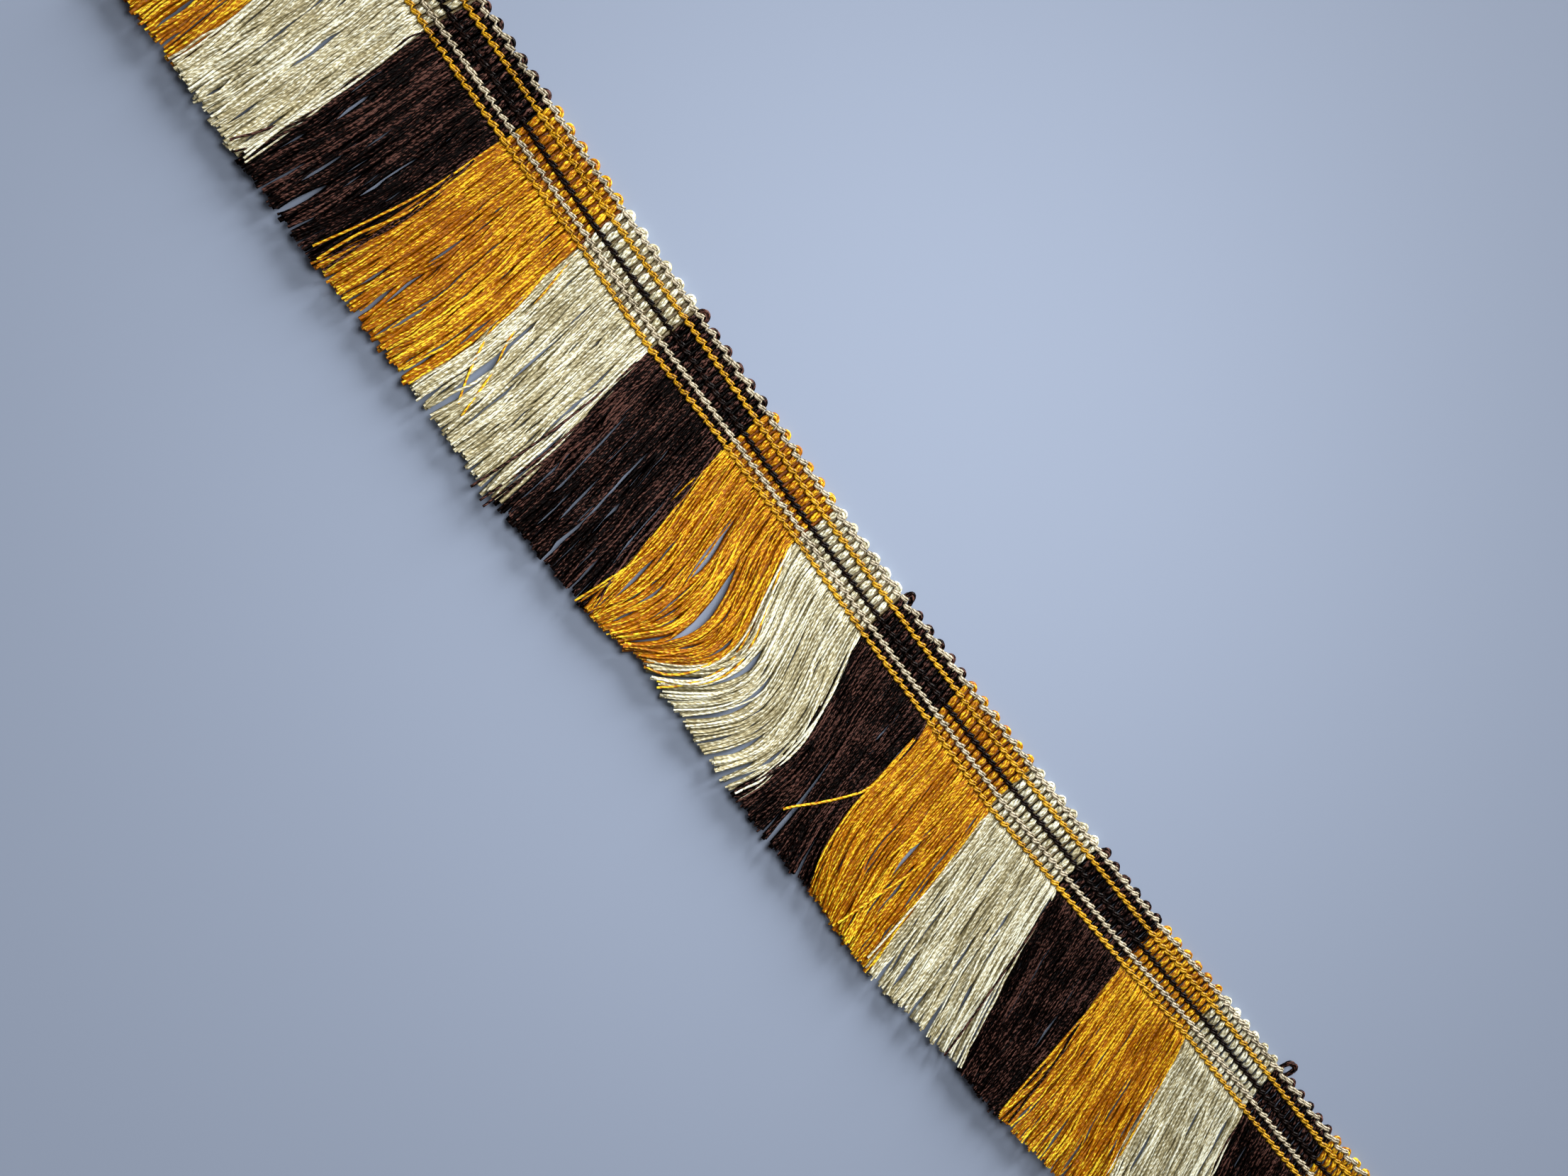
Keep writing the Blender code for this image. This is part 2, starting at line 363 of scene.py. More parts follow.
def stitch_tree():
    """Set one stitch at every course along a path, each turned a little its own way."""
    tree, given = new_geometry_tree(
        "stitch_chain",
        {
            "Stitch": "NodeSocketObject",
            "Count": "NodeSocketInt",
            "Unevenness": "NodeSocketFloat",
            "Seed": "NodeSocketInt",
            "Finish": "NodeSocketMaterial",
        },
    )
    path = add_node(tree, "GeometryNodeMeshToCurve", {"Mesh": given["Geometry"]})
    upright = add_node(
        tree, "GeometryNodeSetCurveNormal", {"Curve": path.outputs[0]}, mode="Z_UP"
    )
    spots = add_node(
        tree,
        "GeometryNodeCurveToPoints",
        {"Curve": upright.outputs[0], "Count": given["Count"]},
        mode="COUNT",
    )
    facing = add_node(
        tree,
        "FunctionNodeAlignRotationToVector",
        {"Vector": spots.outputs["Tangent"]},
        axis="X",
        pivot_axis="Z",
    )
    low = add_node(
        tree, "ShaderNodeMath", {0: given["Unevenness"], 1: -1.0}, operation="MULTIPLY"
    )
    spin = add_node(
        tree,
        "FunctionNodeRandomValue",
        {"Min": low.outputs[0], "Max": given["Unevenness"], "Seed": given["Seed"]},
        data_type="FLOAT_VECTOR",
    )
    turned = add_node(
        tree,
        "FunctionNodeRotateRotation",
        {"Rotation": facing.outputs[0], "Rotate By": spin.outputs[0]},
        rotation_space="LOCAL",
    )
    smallest = add_node(
        tree,
        "ShaderNodeMath",
        {0: given["Unevenness"], 1: -SIZE_UNEVENNESS, 2: 1.0},
        operation="MULTIPLY_ADD",
    )
    largest = add_node(
        tree,
        "ShaderNodeMath",
        {0: given["Unevenness"], 1: SIZE_UNEVENNESS, 2: 1.0},
        operation="MULTIPLY_ADD",
    )
    size = add_node(
        tree,
        "FunctionNodeRandomValue",
        {2: smallest.outputs[0], 3: largest.outputs[0], "Seed": given["Seed"]},
        data_type="FLOAT",
    )
    stitch = add_node(tree, "GeometryNodeObjectInfo", {"Object": given["Stitch"]})
    row = add_node(
        tree,
        "GeometryNodeInstanceOnPoints",
        {
            "Points": spots.outputs["Points"],
            "Instance": stitch.outputs["Geometry"],
            "Rotation": turned.outputs[0],
            "Scale": size.outputs[1],
        },
    )
    shade = add_node(
        tree, "FunctionNodeRandomValue", {2: 0.0, 3: 1.0, "Seed": given["Seed"]}, data_type="FLOAT"
    )
    toned = add_node(
        tree,
        "GeometryNodeStoreNamedAttribute",
        {"Geometry": row.outputs[0], "Name": "tone", "Value": shade.outputs[1]},
        data_type="FLOAT",
        domain="INSTANCE",
    )
    finish_tree(tree, toned.outputs[0], given["Finish"])
    return tree


def apply_tree(piece, tree, values):
    """Set a tree's inputs by identifier, and turn its result into a plain mesh."""
    sockets = {s.name: s.identifier for s in tree.interface.items_tree if s.in_out == "INPUT"}
    modifier = piece.modifiers.new(tree.name, "NODES")
    modifier.node_group = tree
    for name, value in values.items():
        modifier[sockets[name]] = value
    graph = bpy.context.evaluated_depsgraph_get()
    mesh = bpy.data.meshes.new_from_object(piece.evaluated_get(graph))
    piece.modifiers.remove(modifier)
    spare = piece.data
    piece.data = mesh
    bpy.data.meshes.remove(spare)
    mesh.name = piece.name
    return piece


# Finishes


def linear(hex_colour):
    """Turn an sRGB hex value into a linear colour."""
    channels = [int(hex_colour[i : i + 2], 16) / 255 for i in (1, 3, 5)]
    curve = [c / 12.92 if c <= 0.04045 else ((c + 0.055) / 1.055) ** 2.4 for c in channels]
    return (*curve, 1.0)


# Twist of a yarn: how tight it is at its loosest, and how much that grows with the yarn's phase
LOOSE_PACE = 0.8
PACE_SPREAD = 0.065
# How far a ply's crest swings from the yarn's middle, and how narrow a ply is
CREST_SWING = 0.8
PLY_NARROWNESS = 1.5
# Painted glint streaks along the straight filaments: how many across half a yarn and in a
# millimetre along it, and how far apart two yarns' streaks are taken from the noise
STREAKS_ACROSS = 1.8
STREAKS_ALONG = 0.75
STREAKS_APART = 9.0
# Patches about 7 mm wide where the yarns get more painted glints
PATCHES_PER_METRE = 150.0
# How much each part counts in the shade of a point, which picks its painted shade, middle
# colour or painted glint, and how much is taken off
STREAK_SHARE = 3.2
STREAK_DROP = 1.8
PATCH_SHARE = 0.8
TONE_SHARE = 0.5
RELIEF_SHARE = 0.4
# Shades between which one colour turns into the next, from the deepest up: the darkened
# groove colour and the groove colour, which are painted shade, the middle colour, and the
# crest colour, which is a painted glint
DEEP_SHADES = (-0.9, 0.2)
MIDDLE_SHADES = (0.4, 0.9)
CREST_SHADES = (0.94, 1.24)
# Painted shade: how much of a groove's red, green and blue is left where the light hardly
# reaches
DEEP_LIGHT = (0.5, 0.38, 0.3)
# Where the painted glints on a skirt yarn's crests turn into the colour of its tip, in
# millimetres along it
TIP_STRETCH = (20.0, 37.0)
YARN_ROUGHNESS = 0.34
YARN_RELIEF = 0.12 * MM


def rayon_yarn(name, crest, middle, groove, gloss, twist=YARN_TWIST, tip=None, dim=0.0):
    """Viscose rayon of two plies, with painted glints and painted shade in its base colour.

    A ply winds at half the yarn's radius, so seen from above its crest swings from one side
    of the yarn to the other, once in a twist. Where a ply crosses the top its crest gets a
    painted glint, a slanted dash in the crest colour, and where it dives under the other ply
    the yarn gets painted shade. The filaments are straight, and noise along them breaks the
    painted glints into fine streaks. The tips of the skirt let more light through, so tip is
    the colour of their painted glints. A larger dim leaves fewer painted glints.
    """
    material = bpy.data.materials.new(name)
    material.use_nodes = True
    tree = material.node_tree
    shader = tree.nodes["Principled BSDF"]
    around = add_node(tree, "ShaderNodeAttribute", attribute_name="around_yarn")
    along = add_node(tree, "ShaderNodeAttribute", attribute_name="along_yarn")
    phase = add_node(tree, "ShaderNodeAttribute", attribute_name="phase")
    tone = add_node(tree, "ShaderNodeAttribute", attribute_name="tone")
    axes = add_node(tree, "ShaderNodeSeparateXYZ", {0: around.outputs["Vector"]})
    values = {
        "side": axes.outputs["X"],
        "along": along.outputs["Fac"],
        "phase": phase.outputs["Fac"],
        "tone": tone.outputs["Fac"],
    }
    ply_steps = (
        ("pace", "MULTIPLY_ADD", "phase", PACE_SPREAD, LOOSE_PACE),
        ("wound", "MULTIPLY", "along", "pace"),
        ("turn", "MULTIPLY_ADD", "wound", math.tau / twist, "phase"),
        ("sine", "SINE", "turn"),
        ("lift", "COSINE", "turn"),
        ("wide", "MULTIPLY", "side", PLY_NARROWNESS),
        ("swing", "MULTIPLY", "sine", CREST_SWING),
        ("from_first", "SUBTRACT", "wide", "swing"),
        ("from_second", "ADD", "wide", "swing"),
        ("first_square", "MULTIPLY", "from_first", "from_first"),
        ("second_square", "MULTIPLY", "from_second", "from_second"),
        ("first_room", "SUBTRACT", 1.0, "first_square"),
        ("second_room", "SUBTRACT", 1.0, "second_square"),
        ("first_round", "SQRT", "first_room"),
        ("second_round", "SQRT", "second_room"),
        ("first", "ADD", "first_round", "lift"),
        ("second", "SUBTRACT", "second_round", "lift"),
        ("height", "MAXIMUM", "first", "second"),
        ("across", "MULTIPLY", "side", STREAKS_ACROSS),
        ("length", "MULTIPLY", "along", STREAKS_ALONG),
        ("strand", "MULTIPLY", "phase", STREAKS_APART),
    )
    for step, operation, *inputs in ply_steps:
        numbers = {i: values.get(value, value) for i, value in enumerate(inputs)}
        values[step] = add_node(tree, "ShaderNodeMath", numbers, operation=operation).outputs[0]
    streak_at = add_node(
        tree,
        "ShaderNodeCombineXYZ",
        {"X": values["across"], "Y": values["length"], "Z": values["strand"]},
    )
    streak = add_node(
        tree,
        "ShaderNodeTexNoise",
        {"Vector": streak_at.outputs[0], "Scale": 1.0, "Detail": 2.0, "Roughness": 0.6},
    )
    values["streak"] = streak.outputs["Fac"]
    where = add_node(tree, "ShaderNodeTexCoord")
    patch = add_node(
        tree,
        "ShaderNodeTexNoise",
        {"Vector": where.outputs["Object"], "Scale": PATCHES_PER_METRE, "Detail": 1.0},
    )
    values["patch"] = patch.outputs["Fac"]
    shade_steps = (
        ("streaked", "MULTIPLY_ADD", "streak", STREAK_SHARE, -STREAK_DROP - dim),
        ("patched", "MULTIPLY_ADD", "patch", PATCH_SHARE, "streaked"),
        ("toned", "MULTIPLY_ADD", "tone", TONE_SHARE, "patched"),
        ("shade", "MULTIPLY_ADD", "height", RELIEF_SHARE, "toned"),
    )
    for step, operation, *inputs in shade_steps:
        numbers = {i: values.get(value, value) for i, value in enumerate(inputs)}
        values[step] = add_node(tree, "ShaderNodeMath", numbers, operation=operation).outputs[0]
    shares = {}
    for change, value, (start, end) in (
        ("deep", "shade", DEEP_SHADES),
        ("low", "shade", MIDDLE_SHADES),
        ("high", "shade", CREST_SHADES),
        ("near_tip", "along", TIP_STRETCH),
    ):
        span = {"Value": values[value], "From Min": start, "From Max": end}
        shares[change] = add_node(tree, "ShaderNodeMapRange", span).outputs[0]
    # Colour of the painted glints: the crest colour, turning into the tip colour toward the
    # skirt's tips
    painted_glint_colour = add_node(
        tree,
        "ShaderNodeMix",
        {"Factor": shares["near_tip"], "A": linear(crest), "B": linear(tip or crest)},
        data_type="RGBA",
    )
    # Painted shade: the groove colour, darkened further where the shade is deepest
    deepest = (*(light * part for light, part in zip(DEEP_LIGHT, linear(groove))), 1.0)
    shadow = add_node(
        tree,
        "ShaderNodeMix",
        {"Factor": shares["deep"], "A": deepest, "B": linear(groove)},
        data_type="RGBA",
    )
    # Base colour from painted shade up to the middle colour, then up to the painted glints on the
    # crests
    dark = add_node(
        tree,
        "ShaderNodeMix",
        {"Factor": shares["low"], "A": shadow.outputs["Result"], "B": linear(middle)},
        data_type="RGBA",
    )
    colour = add_node(
        tree,
        "ShaderNodeMix",
        {
            "Factor": shares["high"],
            "A": dark.outputs["Result"],
            "B": painted_glint_colour.outputs["Result"],
        },
        data_type="RGBA",
    )
    bump = add_node(
        tree,
        "ShaderNodeBump",
        {"Height": values["shade"], "Strength": 0.6, "Distance": YARN_RELIEF},
    )
    tree.links.new(colour.outputs["Result"], shader.inputs["Base Color"])
    tree.links.new(bump.outputs[0], shader.inputs["Normal"])
    shader.inputs["Roughness"].default_value = YARN_ROUGHNESS
    shader.inputs["Specular IOR Level"].default_value = gloss
    return material


# Each finish gives its crest colour, which is a painted glint, its middle colour, its groove
# colour, which is painted shade, and its gloss, then where needed twist, tip colour and dim
FINISHES = {
    "gold": rayon_yarn(
        "gold_rayon_yarn", "#FFD22E", "#BA7304", "#965400", 0.2, tip="#FFE63C", dim=0.1
    ),
    "cream": rayon_yarn("cream_rayon_yarn", "#FDFFEA", "#C8BF98", "#8E845E", 0.4, dim=0.04),
    "brown": rayon_yarn("brown_rayon_yarn", "#62423A", "#0C0302", "#020000", 0.06, dim=0.2),
    "chain_gold": rayon_yarn("gold_chain_yarn", "#ECBA2A", "#B27C0C", "#4E2E02", 0.3, 1.6),
    "chain_silver": rayon_yarn("silver_chain_yarn", "#E8DDC2", "#A09478", "#4A402C", 0.3, 1.6),
    "chain_black": rayon_yarn("black_chain_yarn", "#1E110D", "#070202", "#010000", 0.12, 1.6),
}


# Yarns

Yarn = namedtuple("Yarn", "points half_width tone phase")
YARN_TREE = yarn_tree()
STITCH_TREE = stitch_tree()


def path_mesh(name, yarns):
    """One mesh of open paths, with the width, tone and twist of each yarn on its points."""
    points = np.concatenate([y.points for y in yarns])
    edges = []
    start = 0
    for yarn in yarns:
        count = len(yarn.points)
        first = np.arange(start, start + count - 1)
        edges.append(np.stack([first, first + 1], 1))
        start += count
    edges = np.concatenate(edges)
    mesh = bpy.data.meshes.new(name)
    mesh.vertices.add(len(points))
    mesh.edges.add(len(edges))
    mesh.vertices.foreach_set("co", points.astype(np.float32).ravel())
    mesh.edges.foreach_set("vertices", edges.astype(np.int32).ravel())
    for column in ("half_width", "tone", "phase"):
        values = [np.broadcast_to(getattr(y, column), len(y.points)) for y in yarns]
        layer = mesh.attributes.new(column, "FLOAT", "POINT")
        layer.data.foreach_set("value", np.concatenate(values).astype(np.float32))
    return mesh


def lay_yarns(name, yarns, finish, sides=5, flatness=0.85):
    """Make one piece from many yarns."""
    piece = bpy.data.objects.new(name, path_mesh(name, yarns))
    bpy.context.scene.collection.objects.link(piece)
    values = {"Sides": sides, "Flatness": flatness, "Finish": finish}
    return apply_tree(piece, YARN_TREE, values)


def join_pieces(name, pieces):
    """Join pieces of one finish into the first."""
    bpy.ops.object.select_all(action="DESELECT")
    for piece in pieces:
        piece.select_set(True)
    bpy.context.view_layer.objects.active = pieces[0]
    bpy.ops.object.join()
    pieces[0].name = name
    pieces[0].data.name = name
    return pieces[0]


# Slits where the skirt parts and the surface shows, read from left to right. The columns are
# in millimetres from the start of the third block: where each slit starts and ends, and its
# width.
Slit = namedtuple("Slit", "top_along top_depth foot_along foot_depth width")
SLITS = (
    Slit(-20.0, 27, -19.0, 36, 0.9),
    Slit(-5.8, 14, -4.0, 25, 0.6),
    Slit(-7.0, 30, -6.6, 38, 1.2),
    Slit(4.6, 13, 5.4, 22, 0.7),
    Slit(10.2, 8, 12.6, 31, 0.5),
    Slit(15.6, 11, 17.9, 27, 1.1),
    Slit(13.6, 28, 13.4, 37, 0.8),
    Slit(22.3, 14, 24.2, 28, 0.6),
    Slit(32.6, 21, 32.4, 34, 0.9),
    Slit(36.8, 27, 37.4, 35, 0.7),
    Slit(49.9, 21, 51.4, 37, 1.2),
    Slit(66.2, 16, 67.6, 37, 0.7),
    Slit(75.8, 19, 77.0, 33, 0.7),
    Slit(81.8, 21, 83.0, 35, 0.5),
    Slit(93.0, 21, 93.6, 35, 0.9),
    Slit(97.2, 11, 99.8, 23, 1.1),
    Slit(103.2, 12, 107.4, 29, 1.9),
    Slit(97.0, 28, 97.6, 36, 0.9),
    Slit(102.4, 28, 102.6, 36, 1.0),
    Slit(117.8, 17, 117.0, 31, 1.2),
    Slit(121.6, 21, 121.0, 37, 1.3),
    Slit(128.6, 26, 127.4, 36, 1.0),
    Slit(163.0, 11, 164.2, 27, 1.1),
    Slit(165.4, 17, 168.6, 33, 0.9),
    Slit(168.0, 12, 171.0, 32, 0.6),
    Slit(178.6, 27, 180.2, 37, 0.9),
    Slit(212.4, 8, 213.2, 34, 0.5),
    Slit(220.6, 17, 221.2, 27, 0.6),
    Slit(225.0, 27, 225.2, 36, 0.6),
    Slit(229.2, 26, 229.8, 37, 0.8),
)
# Where these measures start, and how far a slit pushes the yarns beside it
MEASURED_FROM = float(ENDS[2])
SLIT_HOLD = 1.6 * MM


def part_at_slits(along, depth):
    """Push one yarn's path sideways, away from the slits that it passes."""
    push = np.zeros_like(along)
    for slit in SLITS:
        top = slit.top_depth * MM
        foot = slit.foot_depth * MM
        share = (depth - top) / (foot - top)
        line = MEASURED_FROM + (slit.top_along + (slit.foot_along - slit.top_along) * share) * MM
        away = along - line
        middle = np.interp((top + foot) / 2, depth, away)
        if abs(middle) > 5 * SLIT_HOLD:
            continue
        opening = np.sin(math.pi * np.clip(share, 0, 1)) ** 0.7
        side = 1.0 if middle >= 0 else -1.0
        push += side * slit.width * MM / 2 * opening * np.exp(-abs(middle) / SLIT_HOLD)
    return along + push


# Width of the tufts in which the tips of neighbouring yarns gather
TUFT = 3.1 * MM
# How neighbouring yarns drift together and apart toward their tips: a wave length across the
# skirt and a size, both in millimetres, and how far the wave moves on from root to tip
Drift = namedtuple("Drift", "wave size bend")
DRIFTS = (Drift(17.3, 0.5, 1.2), Drift(5.3, 0.3, 2.2), Drift(2.7, 0.12, -3.0))


def drift_with_others(spread, share):
    """How far a yarn moves along the trim with its neighbours, from its root to its tip."""
    drift = np.zeros_like(share)
    for wave, size, bend in DRIFTS:
        drift += size * MM * np.sin(math.tau * spread / (wave * MM) + bend * share)
    tuft = math.floor(spread / TUFT)
    gather = 0.12 + 0.12 * math.sin(tuft * 7.3)
    middle = (tuft + 0.5 + 0.2 * math.sin(tuft * 4.1)) * TUFT
    drift += (middle - spread) * gather * share**2.5
    return drift * share**1.3


def skirt_height(share, lower, lift, chance):
    """Height of a skirt yarn: it dips under the chain at its root and rises to its tip."""
    bed = LOW_YARN if lower else chance.uniform(*UPPER_BED)
    tip = chance.uniform(*(LOWER_TIPS if lower else UPPER_TIPS))
    height = bed + (tip - bed) * share**1.6
    if not lower:
        beside_chain = np.exp(-(((share - 0.05) / 0.05) ** 2))
        height = height + (CHAIN_SIDE - bed) * beside_chain
        height = height - 0.3 * MM * ease((ROOT_END - share) / ROOT_END) + lift
    return np.maximum(height, LOW_YARN)


def skirt_yarn(root, spread, lower, chance):
    """Path of one skirt yarn, from under the skirt chain to its cut tip."""
    step = LOWER_STEP if lower else UPPER_STEP
    share = np.linspace(0, 1, round(SKIRT_LENGTH / step) + 1)
    lane = root + (spread - root) * ease(share / SETTLED)
    along = lane + drift_with_others(spread, share) + sweep(spread, share)
    turns = chance.uniform(0.6, 1.4, 3) * WAVE_TURNS
    swing = chance.normal(0, 1, 3) * WAVE_SIZES
    start = chance.uniform(0, math.tau, 3)
    for turn, size, first in zip(turns, swing, start):
        along = along + size * (np.sin(math.tau * turn * share + first) - math.sin(first))
    stray = chance.normal(0, STRAY)
    if chance.random() < FAR_STRAY_SHARE:
        stray *= FAR_STRAY
    along = along + stray * share**2
    depth = (reach(spread) + chance.normal(0, UNEVEN_CUT)) * share
    top = chain_across(np.array(spread), np.array(0.0)) - 0.1 * MM
    along = part_at_slits(along, depth + SKIRT_TOP)
    lift = swing[0] * 0.6 * np.sin(math.tau * turns[1] * share)
    height = skirt_height(share, lower, lift, chance)
    points = place(along, top - depth * (1 + SKIRT_TOP / SKIRT_LENGTH), height)
    width = (LOWER_HALF_WIDTH if lower else YARN_HALF_WIDTH) * chance.uniform(0.85, 1.2)
    width = width * (1 - 0.25 * ease((ROOT_END - share) / ROOT_END))
    # Lower yarns get a tone of painted shade; upper yarns a random tone, which also sets how many
    # painted glints they show
    tone = SKIRT_SHADE_TONE if lower else 1.25 * chance.random() ** 1.7
    return Yarn(points, width, tone, chance.uniform(0, math.tau))


# How much higher a loose yarn's tip lies, over the raised tips of the other yarns
LOOSE_TIP_RISE = 1.1 * MM
# Yarns that lie apart from their blocks. Each path is read from root to tip, in millimetres:
# along from the start of the third block, and depth below the skirt chain. The lift is how
# high the yarn lies, in millimetres.
LooseEnd = namedtuple("LooseEnd", "block path lift", defaults=(1.7,))
LOOSE_ENDS = (
    LooseEnd(2, ((-0.3, 0.5), (1.0, 6), (2.3, 17), (2.7, 27), (3.3, 36))),
    LooseEnd(2, ((-0.8, 0.5), (0.6, 8), (1.7, 20), (3.0, 30), (4.0, 36.6))),
    LooseEnd(3, ((20.4, 0.5), (22.3, 9), (23.7, 17), (24.0, 25), (23.3, 31), (23.0, 36.7))),
    LooseEnd(3, ((20.0, 0.5), (21.8, 10), (23.0, 18), (23.6, 26), (24.2, 36.9))),
    LooseEnd(4, ((21.3, 0.5), (22.0, 14), (21.3, 27), (20.3, 36))),
    LooseEnd(4, ((22.2, 0.5), (23.0, 12), (23.3, 21), (22.3, 29), (22.3, 36.7))),
    LooseEnd(4, ((41.6, 0.5), (42.5, 6), (43.9, 10.5), (44.9, 14.7), (45.7, 20.1), (47.0, 23.2),
                 (48.5, 26.1), (50.5, 29.3), (52.7, 32.4)), 1.3),
    LooseEnd(4, ((43.0, 0.5), (45.4, 9), (47.8, 16.9), (49.3, 20.4), (50.7, 22.8), (52.2, 26.3),
                 (53.6, 30.4), (54.6, 33.2)), 1.25),
    LooseEnd(5, ((63.2, 0.5), (63.3, 4), (65.0, 14), (66.3, 24), (67.3, 34.7))),
    LooseEnd(5, ((62.8, 0.5), (63.0, 6), (64.6, 16), (66.0, 26), (66.4, 35.4))),
    LooseEnd(6, ((63.6, 0.5), (64.4, 12), (65.0, 25), (64.7, 39))),
    LooseEnd(6, ((65.0, 0.5), (66.2, 14), (67.3, 27), (67.3, 39.2))),
    LooseEnd(6, ((66.0, 0.5), (67.2, 14), (68.2, 27), (68.4, 39.4))),
    LooseEnd(7, ((84.5, 0.5), (87.3, 10), (90.6, 20), (90.3, 30), (89.7, 37))),
    LooseEnd(7, ((103.8, 0.5), (108.3, 12), (112.3, 20), (112.3, 26.7), (109.7, 32),
                 (105.7, 34.7))),
    LooseEnd(7, ((104.6, 0.5), (110.0, 9), (114.6, 17), (116.0, 23.3), (114.0, 29.3),
                 (109.0, 34.5))),
    LooseEnd(7, ((104.2, 0.5), (109.0, 10), (113.6, 18.5), (114.6, 25), (112.6, 31),
                 (109.9, 35.2))),
    LooseEnd(8, ((105.4, 0.5), (109.0, 9), (112.6, 17), (113.4, 23), (111.7, 28), (107.0, 33.7))),
    LooseEnd(8, ((106.0, 0.5), (110.0, 9), (114.0, 17), (115.4, 24), (113.4, 30), (108.3, 34.6))),
    LooseEnd(8, ((125.7, 0.5), (129.7, 9), (132.7, 16), (134.4, 22), (134.5, 30), (133.4, 34.4))),
    LooseEnd(10, ((147.2, 0.5), (147.8, 4), (148.8, 12), (148.7, 17.3), (147.3, 20.7),
                  (144.7, 25.3), (142.0, 29.3), (140.9, 31.3))),
    LooseEnd(10, ((147.5, 0.5), (148.0, 8), (149.0, 16), (149.6, 22), (151.6, 30), (154.3, 36))),
    LooseEnd(10, ((162.4, 0.5), (163.2, 12), (162.7, 21.3), (165.0, 30), (167.2, 36))),
    LooseEnd(10, ((165.4, 0.5), (166.4, 10), (166.2, 20), (164.6, 29), (163.3, 36.7))),
    LooseEnd(10, ((167.5, 0.5), (169.4, 12), (171.4, 26), (173.7, 36.7))),
    LooseEnd(11, ((168.6, 0.5), (170.6, 12), (171.2, 24), (172.0, 36.6))),
    LooseEnd(12, ((189.4, 0.5), (192.5, 14), (194.6, 27), (196.2, 37.6))),
    LooseEnd(13, ((210.6, 0.5), (211.4, 8), (212.0, 21), (212.0, 31), (212.3, 36.7))),
)


def loose_yarn(end, chance):
    """A yarn that lies over the others, along a listed path."""
    spots = smooth_path([(along * MM, depth * MM) for along, depth in end.path], 5)
    along = MEASURED_FROM + spots[:, 0]
    depth = spots[:, 1]
    rise = ease(depth / (9 * MM))
    height = (1.0 + (end.lift - 1.0 + chance.uniform(-0.1, 0.1)) * rise) * MM
    height = height + LOOSE_TIP_RISE * ease((depth - 14 * MM) / (22 * MM))
    height = height - 0.3 * MM * ease((1.5 * MM - depth) / (1.5 * MM))
    width = YARN_HALF_WIDTH * chance.uniform(1.0, 1.2)
    return Yarn(place(along, -depth, height), width, 0.9, chance.uniform(0, math.tau))


def build_skirt_block(number):
    """All yarns of one colour block of the skirt."""
    colour = SECTIONS[number].colour
    chance = np.random.default_rng(100 + number)
    upper = [loose_yarn(end, chance) for end in LOOSE_ENDS if end.block == number + 1]
    lower = []
    for course in range(round((ENDS[number + 1] - ENDS[number]) / COURSE)):
        middle = ENDS[number] + (course + 0.5) * COURSE
        for layer, count in ((upper, UPPER_YARNS), (lower, LOWER_YARNS)):
            for i in range(count):
                share = (i + 0.5) / count - 0.5
                root = middle + share * (1.7 if layer is lower else 1.3) * MM
                spread = middle + share * COURSE + chance.normal(0, 0.12 * MM)
                layer.append(skirt_yarn(root, spread, layer is lower, chance))
    name = f"{number + 1:02d}_{colour}"
    finish = FINISHES[colour]
    over = lay_yarns(f"skirt_yarns_{name}", upper, finish)
    under = lay_yarns(f"skirt_under_{name}", lower, finish, 4)
    piece = join_pieces(f"skirt_yarns_{name}", [over, under])
    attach(piece, "root")
    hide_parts(f"skirt_{name}")
    return piece


# Wefts of the heading. Each runs out across one course, turns in a loop and runs back.

WEFT_YARNS = 3
WEFT_HALF_WIDTH = 0.34 * MM
# The yarns of a weft wind round each other: how far from its middle, and how far for one turn
WEFT_HALF_BUNDLE = 0.34 * MM
WEFT_TURN = 7.0 * MM
# Where a weft starts and where its loop does, how high it lies under a chain, how much higher
# between two chains, and how far its loop stands out
WEFT_START = -0.7 * MM
LOOP_BASE = OUTER_CHAIN + 0.05 * MM
PINCH_HEIGHT = 0.5 * MM
FLOAT_HEIGHT = 0.45 * MM
LOOP_RISE = 0.85 * MM
LEG_POINTS = 24
LOOP_POINTS = 11
# The deep part of a weft, which closes the knitting between two floats
DEEP_START = -1.2 * MM
DEEP_HEIGHT = 0.35 * MM
DEEP_HALF_WIDTH = 0.52 * MM
# Loops that stand out, by their number from the left end: how many times higher and wider
# they are, and how far they have tipped to the right in millimetres
LooseLoop = namedtuple("LooseLoop", "rise width tip")
LOOSE_LOOPS = {
    29: LooseLoop(1.6, 1.15, -0.2),
    47: LooseLoop(2.2, 1.0, -0.5),
    65: LooseLoop(1.5, 1.1, 0.0),
    83: LooseLoop(3.6, 2.0, 0.7),
}
EVEN_LOOP = LooseLoop(1.0, 1.0, 0.0)


def float_bulge(across):
    """How far a weft has risen and spread between two chains, from 0 to 1."""
    lines = sorted(CHAIN_LINES.values())
    bulge = np.zeros_like(across)
    for low, high in zip(lines, lines[1:]):
        share = np.clip((across - low) / (high - low), 0, 1)
        full = min(1.0, (high - low) / (2.6 * MM)) ** 0.5
        bulge = np.maximum(bulge, full * np.sin(math.pi * share) ** 0.7)
    return bulge


